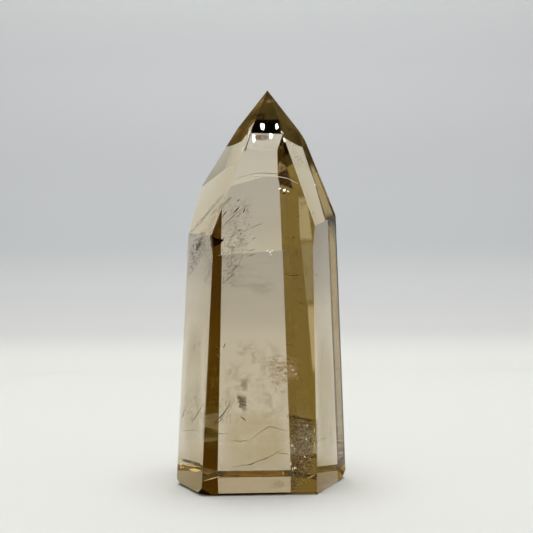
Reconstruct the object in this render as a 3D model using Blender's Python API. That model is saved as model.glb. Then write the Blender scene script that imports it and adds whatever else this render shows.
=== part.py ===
"""Polished smoky quartz point: a six-sided tower on a sawn base, cut and polished from one piece.

Every flat face is one stroke of the lap, described the way a cutter would set it:
  bearing  the way the face looks, in degrees seen from above: 0 is the front (-Y), 90 the right (+X)
  lean     how far the face leans back from upright, in degrees
  reach    how far the face stands from the point of the base that the cutter works about, in millimetres
The stone is the block that is left when all the strokes are made. Its base lies in the plane z = 0.
"""
import math

import bmesh
import bpy
from mathutils import Vector

MM = 0.001

HEIGHT = 100.0                 # base to tip
TIP = (3.3, 1.2)               # where the tip stands over the base: right and back
BLANK = 130.0                  # side of the rough block that is cut down

# The six sides in order round the stone: (bearing, lean, reach) of the prism face and of the shoulder
# above it, and (bearing, lean) of the small tip face, which always runs through the tip.
SIDES = {
    "front": {"prism": (2.0, 1.0, 17.2), "shoulder": (1.0, 16.3, 32.0), "tip": (2.0, 36.2)},
    "right_front": {"prism": (66.0, 0.9, 20.0), "shoulder": (62.0, 23.0, 43.3), "tip": (62.5, 32.8)},
    "right_back": {"prism": (131.5, 2.8, 18.2), "shoulder": (130.0, 10.6, 27.7), "tip": (120.5, 36.1)},
    "back": {"prism": (180.0, 2.4, 18.3), "shoulder": (181.0, 19.7, 39.7), "tip": (180.5, 33.3)},
    "left_back": {"prism": (247.0, 2.6, 17.4), "shoulder": (238.5, 33.1, 52.8), "tip": (240.0, 40.0)},
    "left_front": {"prism": (297.5, 3.4, 20.2), "shoulder": (299.0, 25.7, 42.3), "tip": (300.5, 35.2)},
}

# The sharp foot is taken off all round, by strokes that look down at FOOT_LEAN.
FOOT_LEAN = -45.0
FOOT_DEPTH = 0.45
FOOT_TURN = {"right_front": 4.0}      # this stroke was held askew, so it widens towards the back

# Knocks at the corners of the foot: (bearing, lean, depth below the corner).
CHIPS = {
    "left_front_corner": (332.0, -38.0, 0.9),
    "left_corner": (274.0, -42.0, 0.5),
    "right_corner": (98.0, -38.0, 0.9),
}


def direction(bearing, lean):
    """Unit vector that a face with this bearing and lean looks along."""
    turn, rise = math.radians(bearing), math.radians(lean)
    return Vector((math.sin(turn) * math.cos(rise), -math.cos(turn) * math.cos(rise), math.sin(rise)))


def rough_block():
    """A block larger than the stone, with its underside already sawn at z = 0."""
    bm = bmesh.new()
    bmesh.ops.create_cube(bm, size=BLANK * MM)
    bmesh.ops.translate(bm, verts=bm.verts, vec=(0, 0, BLANK * MM / 2))
    return bm


def cut(bm, normal, distance):
    """Grind away what lies beyond the plane at this distance (metres) along normal, leaving a flat face."""
    geometry = bm.verts[:] + bm.edges[:] + bm.faces[:]
    result = bmesh.ops.bisect_plane(
        bm, geom=geometry, dist=1e-7, plane_co=normal * distance, plane_no=normal, clear_outer=True
    )
    rim = [item for item in result["geom_cut"] if isinstance(item, bmesh.types.BMEdge)]
    if rim:
        bmesh.ops.contextual_create(bm, geom=rim)


def cut_below_corner(bm, normal, depth):
    """Grind a face that lies depth (metres) below the outermost corner along normal."""
    outermost = max(vertex.co.dot(normal) for vertex in bm.verts)
    cut(bm, normal, outermost - depth)


def cut_sides(bm):
    tip = Vector((TIP[0], TIP[1], HEIGHT)) * MM
    for side in SIDES.values():
        for form in ("prism", "shoulder"):
            bearing, lean, reach = side[form]
            cut(bm, direction(bearing, lean), reach * MM)
        tip_direction = direction(*side["tip"])
        cut(bm, tip_direction, tip.dot(tip_direction))


def cut_foot(bm):
    for name, side in SIDES.items():
        bearing = side["prism"][0] + FOOT_TURN.get(name, 0.0)
        cut_below_corner(bm, direction(bearing, FOOT_LEAN), FOOT_DEPTH * MM)
    for bearing, lean, depth in CHIPS.values():
        cut_below_corner(bm, direction(bearing, lean), depth * MM)


def stand_on_origin(bm):
    """Slide the stone so that the middle of its outline stands on the origin."""
    for axis in (0, 1):
        low = min(vertex.co[axis] for vertex in bm.verts)
        high = max(vertex.co[axis] for vertex in bm.verts)
        for vertex in bm.verts:
            vertex.co[axis] -= (low + high) / 2


def smoky_quartz():
    material = bpy.data.materials.new("smoky_quartz")
    material.use_nodes = True
    shader = material.node_tree.nodes["Principled BSDF"]
    shader.inputs["Base Color"].default_value = (0.42, 0.36, 0.24, 1.0)
    shader.inputs["Metallic"].default_value = 0.0
    shader.inputs["Roughness"].default_value = 0.02
    shader.inputs["IOR"].default_value = 1.544
    shader.inputs["Transmission Weight"].default_value = 1.0
    material.diffuse_color = (0.42, 0.36, 0.24, 1.0)
    return material


def build_point():
    bm = rough_block()
    cut_sides(bm)
    cut_foot(bm)
    stand_on_origin(bm)
    bmesh.ops.remove_doubles(bm, verts=bm.verts, dist=0.01 * MM)
    bmesh.ops.recalc_face_normals(bm, faces=bm.faces)
    mesh = bpy.data.meshes.new("quartz_point")
    bm.to_mesh(mesh)
    bm.free()
    mesh.materials.append(smoky_quartz())
    point = bpy.data.objects.new("quartz_point", mesh)
    bpy.context.collection.objects.link(point)


for leftover in list(bpy.data.objects):
    bpy.data.objects.remove(leftover)
build_point()
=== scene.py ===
import bmesh
import bpy
import math
from mathutils import Matrix, Vector


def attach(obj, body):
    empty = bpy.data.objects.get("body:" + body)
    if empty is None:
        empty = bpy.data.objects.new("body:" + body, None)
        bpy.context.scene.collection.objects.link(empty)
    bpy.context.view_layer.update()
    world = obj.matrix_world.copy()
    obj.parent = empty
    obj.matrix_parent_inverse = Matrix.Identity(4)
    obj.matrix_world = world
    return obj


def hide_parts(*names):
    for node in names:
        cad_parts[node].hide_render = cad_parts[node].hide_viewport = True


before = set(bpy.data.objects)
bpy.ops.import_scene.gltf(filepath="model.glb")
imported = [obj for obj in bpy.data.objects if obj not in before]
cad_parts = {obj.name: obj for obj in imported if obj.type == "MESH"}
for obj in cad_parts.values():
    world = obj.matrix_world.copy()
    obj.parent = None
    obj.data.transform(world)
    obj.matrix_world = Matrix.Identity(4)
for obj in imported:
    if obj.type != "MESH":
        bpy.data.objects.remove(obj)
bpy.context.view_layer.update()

mm = 0.001

# the camera, in millimetres on the cutter's own axes: the tip stands at 3.3, 1.2 there
view = {
    "focalPixels": 1067.0,
    "imagePixels": 533.0,
    "sensorWidth": 36.0,
    "clip": (0.005, 20.0),  # metres
    "distance": 273.5,
    "downwards": 1.57,
    "roll": -0.53,
    "aim": (2.66, 0.0, 54.86),
    "tipInCutterAxes": (3.3, 1.2),
}


def highestPoint(node):
    return max((v.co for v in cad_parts[node].data.vertices), key=lambda co: co.z).copy()


tip = highestPoint("quartz_point")
cutterOrigin = Vector((tip.x - view["tipInCutterAxes"][0] * mm, tip.y - view["tipInCutterAxes"][1] * mm, 0.0))


def newObject(name, data):
    made = bpy.data.objects.new(name, data)
    bpy.context.collection.objects.link(made)
    return made


def viewAxes():
    down = math.radians(view["downwards"])
    roll = math.radians(view["roll"])
    forward = Vector((0, math.cos(down), -math.sin(down)))
    level = Vector((1, 0, 0))
    up = level.cross(forward)
    right = level * math.cos(roll) + up * math.sin(roll)
    return right, right.cross(forward), forward


def addCamera():
    right, up, forward = viewAxes()
    data = bpy.data.cameras.new("camera")
    data.sensor_width = view["sensorWidth"]
    data.lens = view["focalPixels"] / view["imagePixels"] * data.sensor_width
    data.clip_start, data.clip_end = view["clip"]
    camera = newObject("camera", data)
    place = cutterOrigin + Vector(view["aim"]) * mm - forward * view["distance"] * mm
    turn = Matrix((right, up, -forward)).transposed().to_4x4()
    camera.matrix_world = Matrix.Translation(place) @ turn
    bpy.context.scene.camera = camera
    print("camera set")


# nodes: an input takes a plain value or another node's output


def feed(tree, socket, value):
    if isinstance(value, bpy.types.NodeSocket):
        tree.links.new(value, socket)
    else:
        socket.default_value = value


def addNode(tree, kind, inputs=None, **settings):
    node = tree.nodes.new(kind)
    for name, value in settings.items():
        setattr(node, name, value)
    for name, value in (inputs or {}).items():
        feed(tree, node.inputs[name], value)
    return node


def mathNode(tree, operation, first, second=0.0):
    return addNode(tree, "ShaderNodeMath", {0: first, 1: second}, operation=operation).outputs[0]


def vectorNode(tree, operation, inputs, result="Vector"):
    return addNode(tree, "ShaderNodeVectorMath", inputs, operation=operation).outputs[result]


def splitAxes(tree, vector):
    return addNode(tree, "ShaderNodeSeparateXYZ", {0: vector}).outputs


def smoothRamp(tree, value, low, high):
    # 0 at low, 1 at high
    inputs = {"Value": value, "From Min": low, "From Max": high}
    return addNode(tree, "ShaderNodeMapRange", inputs, interpolation_type="SMOOTHSTEP").outputs["Result"]


def mixColours(tree, first, second, share, blend="MIX"):
    inputs = {"Factor": share, "A": first, "B": second}
    return addNode(tree, "ShaderNodeMix", inputs, data_type="RGBA", blend_type=blend).outputs["Result"]


def mixShade(tree, colour, shade, share, amount, blend="MIX"):
    return mixColours(tree, colour, (*shade, 1), mathNode(tree, "MULTIPLY", share, amount), blend)


def newGroup(name, inputs, outputs, kind="ShaderNodeTree"):
    group = bpy.data.node_groups.new(name, kind)
    for label, socket in inputs:
        group.interface.new_socket(label, in_out="INPUT", socket_type="NodeSocket" + socket)
    for label, socket in outputs:
        group.interface.new_socket(label, in_out="OUTPUT", socket_type="NodeSocket" + socket)
    return group, group.nodes.new("NodeGroupInput").outputs, group.nodes.new("NodeGroupOutput").inputs


def placeGroup(tree, group, inputs):
    return addNode(tree, "ShaderNodeGroup", inputs, node_tree=group).outputs[0]


def newMaterial(name, values):
    # the values are plain ones on the shader's own sockets
    material = bpy.data.materials.new(name)
    material.use_nodes = True
    tree = material.node_tree
    shader = tree.nodes["Principled BSDF"]
    for socket, value in values.items():
        shader.inputs[socket].default_value = value
    return material, tree, shader


# the table top, and a sheet of the same paper that curves up behind the stone, in metres
paper = {
    "tableHalfWidth": 3.0,
    "gap": 0.00005,
    "sheetStart": 0.22,
    "sheetFlat": 0.02,
    "sheetLift": 0.0001,
    "sheetBend": 0.30,
    "sheetHeight": 0.9,
    "sheetHalfWidth": 0.45,
    "bendSteps": 24,
    # tones by height up the sheet, painted shade and light: darker part way up, lighter on the floor and
    # higher up
    "shades": (
        (0.0, (0.765, 0.762, 0.728)),
        (0.012, (0.630, 0.628, 0.618)),
        (0.030, (0.585, 0.588, 0.588)),
        (0.060, (0.510, 0.520, 0.530)),
        (0.100, (0.520, 0.528, 0.545)),
        (0.190, (0.575, 0.580, 0.600)),
        (0.260, (0.640, 0.652, 0.650)),
    ),
    "shadeReach": 0.3,
    "roughness": 0.8,
    "shine": 0.2,
    # patches that only show through the stone: unlit ones for the tip and the shoulder, one lit
    "patches": (
        {"centre": (0.0016, -0.0063, 0.0), "half": (0.0044, 0.0025, 1.0), "shade": (0.006, 0.003, 0.002)},
        {"centre": (-0.0122, -0.0148, 0.0), "half": (0.0018, 0.0018, 1.0), "shade": (0.110, 0.110, 0.020)},
        {"centre": (0.0165, -0.0045, 0.0), "half": (0.0016, 0.0045, 1.0), "shade": (0.110, 0.110, 0.020)},
        {"centre": (0.0270, -0.0205, 0.0), "half": (0.0055, 0.0060, 1.0), "shade": (0.700, 0.680, 0.620)},
    ),
    "patchFade": 0.08,
}
# what only the stone gathers from the room, all painted shade and light: shaded quarters, by where they lie
# and how far round they reach in degrees; painted light low on the wall and painted shade overhead, by how
# steeply the wall is seen;
# and a painted glow on the paper inside the near ring
room = {
    "front": {"bearing": 180.0, "outer": 62.0, "inner": 44.0, "shade": (0.020, 0.016, 0.010)},
    "quarters": (
        {"bearing": 129.0, "outer": 32.0, "inner": 20.0, "shade": (0.150, 0.080, 0.006)},
        {"bearing": 90.0, "outer": 24.0, "inner": 12.0, "shade": (0.230, 0.170, 0.035)},
        {"bearing": -95.0, "outer": 34.0, "inner": 16.0, "shade": (0.340, 0.270, 0.090)},
    ),
    "lowWallLight": {"from": 0.10, "to": 0.19, "shade": (1.24, 1.12, 0.90)},
    "overhead": {"from": 0.22, "to": 0.36, "shade": (0.200, 0.145, 0.045)},
    "nearRing": (0.018, 0.024),
    "nearGlow": (0.22, 0.23, 0.14),
    "wallColour": (0.36, 0.365, 0.375),
    "strength": 1.0,
}


def flatWay(bearing):
    turn = math.radians(bearing)
    return (math.sin(turn), math.cos(turn), 0.0)


def roomGroup():
    inputs = (("Place", "Vector"), ("Plain", "Color"), ("Amount", "Float"), ("Front", "Float"))
    group, start, end = newGroup("roomShades", inputs, (("Colour", "Color"),))
    lift = splitAxes(group, vectorNode(group, "NORMALIZE", {0: start["Place"]}))["Z"]
    level = vectorNode(group, "MULTIPLY", {0: start["Place"], 1: (1, 1, 0)})
    level = vectorNode(group, "NORMALIZE", {0: level})
    colour = start["Plain"]
    # painted light low on the wall, then painted shade overhead
    for part, blend in (("lowWallLight", "MULTIPLY"), ("overhead", "MIX")):
        share = smoothRamp(group, lift, room[part]["from"], room[part]["to"])
        colour = mixShade(group, colour, room[part]["shade"], share, start["Amount"], blend)
    # the front quarter's painted shade only shows in reflections
    amounts = [start["Front"]] + [start["Amount"]] * len(room["quarters"])
    for quarter, amount in zip((room["front"], *room["quarters"]), amounts):
        along = vectorNode(group, "DOT_PRODUCT", {0: level, 1: flatWay(quarter["bearing"])}, "Value")
        outer, inner = (math.cos(math.radians(quarter[side])) for side in ("outer", "inner"))
        colour = mixShade(group, colour, quarter["shade"], smoothRamp(group, along, outer, inner), amount)
    group.links.new(colour, end["Colour"])
    return group


def boxMask(tree, place, box):
    # 1 inside the box, fading to 0 just past its sides
    offset = vectorNode(tree, "SUBTRACT", {0: place, 1: box["centre"]})
    share = vectorNode(tree, "DIVIDE", {0: offset, 1: box["half"]})
    apart = splitAxes(tree, vectorNode(tree, "ABSOLUTE", {0: share}))
    furthest = mathNode(tree, "MAXIMUM", apart["X"], apart["Y"])
    return smoothRamp(tree, furthest, 1 + paper["patchFade"], 1 - paper["patchFade"])


def paperShades(tree, place):
    # painted shade and light on the paper, by height up the sheet
    shades = addNode(tree, "ShaderNodeValToRGB")
    shades.color_ramp.interpolation = "EASE"
    stops = shades.color_ramp.elements
    while len(stops) < len(paper["shades"]):
        stops.new(0.5)
    for stop, (z, colour) in zip(stops, paper["shades"]):
        stop.position = z / paper["shadeReach"]
        stop.color = (*colour, 1)
    height = mathNode(tree, "DIVIDE", splitAxes(tree, place)["Z"], paper["shadeReach"])
    tree.links.new(height, shades.inputs["Fac"])
    return shades.outputs["Color"]


def paperMaterial(group):
    values = {"Roughness": paper["roughness"], "Specular IOR Level": paper["shine"], "Emission Strength": 1.0}
    material, tree, shader = newMaterial("paper", values)
    place = tree.nodes.new("ShaderNodeTexCoord").outputs["Object"]
    rays = tree.nodes.new("ShaderNodeLightPath").outputs
    through, mirrored = rays["Is Transmission Ray"], rays["Is Glossy Ray"]
    beyond = smoothRamp(tree, vectorNode(tree, "LENGTH", {0: place}, "Value"), *room["nearRing"])
    gathered = mathNode(tree, "MULTIPLY", mathNode(tree, "MAXIMUM", through, mirrored), beyond)
    colour = placeGroup(tree, group, {
        "Place": place, "Plain": paperShades(tree, place), "Amount": gathered, "Front": mirrored,
    })
    plain = 1.0
    for patch in paper["patches"]:
        inside = boxMask(tree, place, patch)
        colour = mixShade(tree, colour, patch["shade"], inside, through)
        plain = mathNode(tree, "MULTIPLY", plain, mathNode(tree, "SUBTRACT", 1.0, inside))
    tree.links.new(colour, shader.inputs["Base Color"])
    # painted light: a glow on the paper under the stone's foot, for light that the stone gathers there, clear
    # of the patches
    under = mathNode(tree, "MULTIPLY", mathNode(tree, "SUBTRACT", 1.0, beyond), through)
    under = mathNode(tree, "MULTIPLY", under, plain)
    glow = mixColours(tree, (0, 0, 0, 1), (*room["nearGlow"], 1), under)
    tree.links.new(glow, shader.inputs["Emission Color"])
    return material


def addPaper(group):
    half, low = paper["tableHalfWidth"], -paper["gap"]
    table = bpy.data.meshes.new("tableTop")
    corners = [(-half, -half, low), (half, -half, low), (half, half, low), (-half, half, low)]
    table.from_pydata(corners, [], [(0, 1, 2, 3)])
    start, bend = paper["sheetStart"], paper["sheetBend"]
    outline = [(start, 0.0)]
    for i in range(paper["bendSteps"] + 1):
        turn = math.radians(90 * i / paper["bendSteps"])
        y = start + paper["sheetFlat"] + bend * math.sin(turn)
        outline.append((y, paper["sheetLift"] + bend * (1 - math.cos(turn))))
    outline.append((outline[-1][0], paper["sheetHeight"]))
    points, faces = [], []
    for y, z in outline:
        points += [(-paper["sheetHalfWidth"], y, z), (paper["sheetHalfWidth"], y, z)]
    for i in range(len(outline) - 1):
        faces.append((2 * i, 2 * i + 1, 2 * i + 3, 2 * i + 2))
    sheet = bpy.data.meshes.new("sheetBehind")
    sheet.from_pydata(points, [], faces)
    sheet.shade_smooth()
    material = paperMaterial(group)
    for mesh in (table, sheet):
        mesh.materials.append(material)
        obj = newObject(mesh.name, mesh)
    print("paper laid")


# one large soft lamp overhead, and four small ones that only show as glints on the tip, in metres
lamps = {
    "soft": {"size": (0.6, 0.6), "place": (0.0, 0.05, 0.9), "aim": (0.0, 0.1, 0.0), "power": 6.5},
    "glintHighLeft": {
        "size": (0.0034, 0.0052), "place": (0.0224, -0.1163, 0.6288), "aim": (0.0009, -0.0062, 0.0904),
    },
    "glintHighRight": {
        "size": (0.0022, 0.0052), "place": (0.0333, -0.1165, 0.6282), "aim": (0.0045, -0.0063, 0.0901),
    },
    "glintLowLeft": {
        "size": (0.0028, 0.0070), "place": (0.0090, -0.4427, 0.4239), "aim": (-0.0015, -0.0083, 0.0866),
    },
    "glintLowRight": {
        "size": (0.0030, 0.0050), "place": (0.0235, -0.4410, 0.4260), "aim": (0.0032, -0.0080, 0.0875),
    },
}
lampColour = (0.98, 0.99, 0.97)
glintRadiance = 45.0  # the power of a glint follows from this and its area


def addRoom(group):
    world = bpy.data.worlds.new("room")
    bpy.context.scene.world = world
    world.use_nodes = True
    tree = world.node_tree
    rays = tree.nodes.new("ShaderNodeLightPath").outputs
    colour = placeGroup(tree, group, {
        "Place": tree.nodes.new("ShaderNodeTexCoord").outputs["Generated"],
        "Plain": (*room["wallColour"], 1),
        "Amount": mathNode(tree, "MAXIMUM", rays["Is Transmission Ray"], rays["Is Glossy Ray"]),
        "Front": rays["Is Glossy Ray"],
    })
    background = tree.nodes["Background"]
    background.inputs["Strength"].default_value = room["strength"]
    tree.links.new(colour, background.inputs["Color"])
    print("room shaded")


def addLights():
    for name, lamp in lamps.items():
        wide, tall = lamp["size"]
        data = bpy.data.lights.new(name, "AREA")
        data.shape = "ELLIPSE"
        data.size, data.size_y = wide, tall
        data.energy = lamp.get("power", glintRadiance * math.pi * math.pi / 4 * wide * tall)
        data.color = lampColour
        light = newObject(name, data)
        light.location = lamp["place"]
        light.visible_glossy = name != "soft"
        away = Vector(lamp["place"]) - Vector(lamp["aim"])
        light.rotation_euler = away.to_track_quat("Z", "Y").to_euler()
    print("lights on")


# the stone, in millimetres
stone = {
    "blank": 130.0,
    # strokes of the lap: bearing, lean and reach of the prism face and of the shoulder;
    # tip faces have no reach, because they all run through the tip
    "sides": {
        "front": ((2.0, 1.0, 17.2), (1.0, 16.3, 32.0), (2.0, 36.2)),
        "rightFront": ((66.0, 0.9, 20.0), (62.0, 23.0, 43.3), (62.5, 32.8)),
        "rightBack": ((131.5, 2.8, 18.2), (130.0, 10.6, 27.7), (120.5, 36.1)),
        "back": ((180.0, 2.4, 18.3), None, (180.5, 34.5)),
        "leftBack": ((247.0, 2.6, 17.4), (238.5, 33.1, 52.8), (240.0, 40.0)),
        "leftFront": ((297.5, 3.4, 20.2), (299.0, 25.7, 42.3), (300.5, 35.2)),
    },
    "footLean": -45.0,
    "footDepth": 0.45,
    "backFootDepth": 0.62,
    "footTurns": {"rightFront": 4.0},
    # small knocks at the corners of the foot: bearing, lean and depth
    "chips": ((332.0, -38.0, 0.9), (274.0, -42.0, 0.5), (98.0, -38.0, 0.9)),
    "weld": 0.005,
    "groundSlopes": (-0.95, -0.2),  # faces that look this far down are ground, not polished
    "edgeWidth": 0.18,
    "edgeSteps": 2,
    "edgeAngle": 6.0,
    "smallestFace": 1.0,  # smaller ones are bevels
    "ior": 1.544,
    "absorbs": (0.594, 0.462, 0.190),
    "density": 31.0,
    "polishedRoughness": 0.0,
    "groundRoughness": 0.32,
    "waverWidth": 0.007,  # metres, as textures are
    "waverDepth": 0.000012,
}
# the shoulder at the back was lapped round: part of a cone that meets the back's flat in a low arch
roundShoulder = {
    "bearing": 181.0,
    "lean": 16.0,
    "touchesAt": (3.0, 15.15, 75.5),
    "radius": 50.0,
    "spread": (-24, 3),
    "step": 1.0,
    # a flat counts as part of the cone where it faces back this much and leans within this many degrees of it
    "facesBack": 0.7,
    "fit": 0.8,
}
cutSlack = 1e-7


def lookingAlong(bearing, lean):
    turn, rise = math.radians(bearing), math.radians(lean)
    return Vector((math.sin(turn) * math.cos(rise), -math.cos(turn) * math.cos(rise), math.sin(rise)))


def shoulderCone():
    shape = roundShoulder
    touch = cutterOrigin + Vector(shape["touchesAt"]) * mm
    axis = touch - lookingAlong(shape["bearing"], 0) * shape["radius"] * mm
    rise = shape["radius"] * mm / math.tan(math.radians(shape["lean"]))
    return axis, touch.z + rise


def grind(bm, normal, distance):
    everything = bm.verts[:] + bm.edges[:] + bm.faces[:]
    result = bmesh.ops.bisect_plane(
        bm, geom=everything, dist=cutSlack, plane_co=normal * distance, plane_no=normal, clear_outer=True
    )
    rim = [item for item in result["geom_cut"] if isinstance(item, bmesh.types.BMEdge)]
    if rim:
        bmesh.ops.contextual_create(bm, geom=rim)


def grindBelowCorner(bm, normal, depth):
    outermost = max(vertex.co.dot(normal) for vertex in bm.verts)
    grind(bm, normal, outermost - depth * mm)


def roundTheShoulder(bm):
    axis, top = shoulderCone()
    apex = Vector((axis.x, axis.y, top))
    first, last = roundShoulder["spread"]
    for i in range(first, last + 1):
        normal = lookingAlong(roundShoulder["bearing"] + i * roundShoulder["step"], roundShoulder["lean"])
        grind(bm, normal, normal.dot(apex))


def groundStone():
    bm = bmesh.new()
    bmesh.ops.create_cube(bm, size=stone["blank"] * mm)
    bmesh.ops.translate(bm, verts=bm.verts, vec=(0, 0, stone["blank"] * mm / 2))
    for prism, shoulder, tipFace in stone["sides"].values():
        for stroke in (prism, shoulder):
            if stroke:
                normal = lookingAlong(*stroke[:2])
                grind(bm, normal, stroke[2] * mm + normal.dot(cutterOrigin))
        normal = lookingAlong(*tipFace)
        grind(bm, normal, normal.dot(tip))
    roundTheShoulder(bm)
    for name, (prism, _, _) in stone["sides"].items():
        bearing = prism[0] + stone["footTurns"].get(name, 0.0)
        depth = stone["backFootDepth"] if name == "back" else stone["footDepth"]
        grindBelowCorner(bm, lookingAlong(bearing, stone["footLean"]), depth)
    for bearing, lean, depth in stone["chips"]:
        grindBelowCorner(bm, lookingAlong(bearing, lean), depth)
    bmesh.ops.remove_doubles(bm, verts=bm.verts, dist=stone["weld"] * mm)
    bmesh.ops.recalc_face_normals(bm, faces=bm.faces)
    lowest, highest = stone["groundSlopes"]
    for face in bm.faces:
        face.material_index = int(lowest < face.normal.z < highest)
    print("stone faces", len(bm.faces), "edges", len(bm.edges))
    return bm


def polishedNormals(mesh):
    # flats stay flat right up to the bevels, and the round shoulder reads as one curve
    axis, _ = shoulderCone()
    lean = math.radians(roundShoulder["lean"])

    def coneNormal(place):
        level = Vector((place.x - axis.x, place.y - axis.y, 0)).normalized()
        return level, level * math.cos(lean) + Vector((0, 0, math.sin(lean)))

    settled = {}
    for face in mesh.polygons:
        if face.area < stone["smallestFace"] * mm * mm:
            continue
        level, conical = coneNormal(face.center)
        fits = conical.angle(face.normal) < math.radians(roundShoulder["fit"])
        onCone = level.y > roundShoulder["facesBack"] and fits
        for corner in face.vertices:
            place = mesh.vertices[corner].co
            normal = coneNormal(place)[1] if onCone else face.normal.copy()
            settled.setdefault(corner, []).append((face.area, normal))
    rounded = [v.normal.copy() for v in mesh.vertices]
    for corner, found in settled.items():
        rounded[corner] = max(found, key=lambda pair: pair[0])[1]
    mesh.shade_smooth()
    mesh.normals_split_custom_set_from_vertices(rounded)


def polishGroup():
    # the faint waver that a lap leaves in a flat
    inputs = (("Place", "Vector"), ("Width", "Float"))
    group, start, end = newGroup("polishWaver", inputs, (("Height", "Float"),))
    waver = addNode(group, "ShaderNodeTexNoise", {
        "Vector": start["Place"], "Scale": mathNode(group, "DIVIDE", 1.0, start["Width"]), "Detail": 0.0,
    })
    group.links.new(waver.outputs["Fac"], end["Height"])
    return group


def smokyQuartz(name, roughness, polish):
    material, tree, shader = newMaterial(name, {
        "Base Color": (1, 1, 1, 1), "Roughness": roughness, "IOR": stone["ior"], "Transmission Weight": 1.0,
    })
    absorption = addNode(tree, "ShaderNodeVolumeAbsorption", {
        "Color": (*stone["absorbs"], 1), "Density": stone["density"],
    })
    tree.links.new(absorption.outputs["Volume"], tree.nodes["Material Output"].inputs["Volume"])
    place = tree.nodes.new("ShaderNodeTexCoord").outputs["Object"]
    waver = placeGroup(tree, polish, {"Place": place, "Width": stone["waverWidth"]})
    bump = addNode(tree, "ShaderNodeBump", {"Distance": stone["waverDepth"], "Height": waver})
    tree.links.new(bump.outputs["Normal"], shader.inputs["Normal"])
    return material


def plainMesh(piece):
    # the mesh as its modifiers leave it, with the modifiers gone
    made = bpy.data.meshes.new_from_object(piece.evaluated_get(bpy.context.evaluated_depsgraph_get()))
    piece.modifiers.clear()
    piece.data = made
    return made


def meshFrom(name, bm):
    mesh = bpy.data.meshes.new(name)
    bm.to_mesh(mesh)
    bm.free()
    return mesh


def makeStone():
    mesh = meshFrom("quartzPoint", groundStone())
    point = newObject("quartzPoint", mesh)
    polish = polishGroup()
    mesh.materials.append(smokyQuartz("smokyQuartz", stone["polishedRoughness"], polish))
    mesh.materials.append(smokyQuartz("groundFoot", stone["groundRoughness"], polish))
    bevel = point.modifiers.new("edges", "BEVEL")
    bevel.width = stone["edgeWidth"] * mm
    bevel.segments = stone["edgeSteps"]
    bevel.limit_method = "ANGLE"
    bevel.angle_limit = math.radians(stone["edgeAngle"])
    polishedNormals(plainMesh(point))
    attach(point, "root")
    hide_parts("quartz_point")
    print("stone cut")


# what lies inside the stone, in millimetres from the middle of its foot


def setInputs(modifier, values):
    sockets = modifier.node_group.interface.items_tree
    names = {item.name: item.identifier for item in sockets if item.in_out == "INPUT"}
    for name, value in values.items():
        modifier[names[name]] = value


def newTree(name, inputs):
    shape = ("Geometry", "Geometry")
    return newGroup(name, (shape, *inputs, ("Finish", "Material")), (shape,), "GeometryNodeTree")


def finishTree(tree, start, end, shape):
    solid = addNode(tree, "GeometryNodeRealizeInstances", {"Geometry": shape})
    painted = addNode(tree, "GeometryNodeSetMaterial", {
        "Geometry": solid.outputs["Geometry"], "Material": start["Finish"],
    })
    tree.links.new(painted.outputs["Geometry"], end["Geometry"])
    return tree


def bakedPiece(name, mesh, tree, values, finish):
    piece = newObject(name, mesh)
    modifier = piece.modifiers.new("make", "NODES")
    modifier.node_group = tree
    setInputs(modifier, {**values, "Finish": finish})
    made = plainMesh(piece)
    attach(piece, "root")
    print(name, len(made.polygons), "faces")


def plainPiece(name, mesh, finish):
    mesh.materials.append(finish)
    piece = newObject(name, mesh)
    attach(piece, "root")


# sheets between four corners: grains lie along them, and clouds are made of them
sheetSteps = 10


def sheetPoints(corners, bulge=0.0):
    # in metres, with the middle pushed towards the front
    a, b, c, d = (Vector(corner) * mm for corner in corners)
    points = []
    for j in range(sheetSteps + 1):
        for i in range(sheetSteps + 1):
            u, v = i / sheetSteps, j / sheetSteps
            place = (a * (1 - u) + b * u) * (1 - v) + (d * (1 - u) + c * u) * v
            place.y -= bulge * mm * math.sin(math.pi * u) * math.sin(math.pi * v)
            points.append(place)
    return points


def sheetFaces(offset=0, flip=False):
    faces = []
    for j in range(sheetSteps):
        for i in range(sheetSteps):
            first = offset + j * (sheetSteps + 1) + i
            face = (first, first + 1, first + sheetSteps + 2, first + sheetSteps + 1)
            faces.append(face[::-1] if flip else face)
    return faces


# finishes of the flaws and of painted glints, highlights and shade: two tones that mottle each other, and how
# much painted light they give off
flawAndLightFinishes = {
    "darkFlaw": {"tones": ((0.030, 0.020, 0.010), (0.085, 0.060, 0.030))},
    "brownFlawAndShade": {"tones": ((0.150, 0.105, 0.055), (0.300, 0.230, 0.140))},
    "tanFlaw": {"tones": ((0.60, 0.44, 0.26), (0.36, 0.25, 0.14)), "glow": 0.35},
    "paleGlintGrain": {"tones": ((0.50, 0.42, 0.25), (0.17, 0.13, 0.06)), "glow": 0.8},
    "goldGlintGrain": {"tones": ((0.54, 0.40, 0.17), (0.24, 0.17, 0.06)), "glow": 0.8},
    "wedgeFlaw": {"tones": ((0.060, 0.018, 0.006), (0.020, 0.006, 0.002)), "roughness": 0.5},
    "whiteGlint": {"tones": ((1.0, 1.0, 0.94), (0.92, 0.92, 0.80)), "roughness": 0.5, "glow": 1.3},
    "goldGlint": {"tones": ((1.0, 0.78, 0.38), (0.85, 0.58, 0.22)), "roughness": 0.5, "glow": 0.6},
    "creamHighlight": {"tones": ((0.84, 0.78, 0.64), (0.74, 0.68, 0.54)), "roughness": 0.5, "glow": 0.55},
    "paleFlaw": {"tones": ((0.850, 0.820, 0.740), (0.650, 0.600, 0.500)), "roughness": 0.4},
}
flawAndLightDefaults = {"roughness": 0.6, "glow": 0.0, "mottle": 900.0}


def mottleGroup():
    # two tones that mottle each other
    inputs = (("Place", "Vector"), ("Grain", "Float"), ("First", "Color"), ("Second", "Color"))
    group, start, end = newGroup("mottledTones", inputs, (("Colour", "Color"),))
    speckle = addNode(group, "ShaderNodeTexNoise", {"Vector": start["Place"], "Scale": start["Grain"]})
    group.links.new(mixColours(group, start["First"], start["Second"], speckle.outputs["Fac"]), end["Colour"])
    return group


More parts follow.
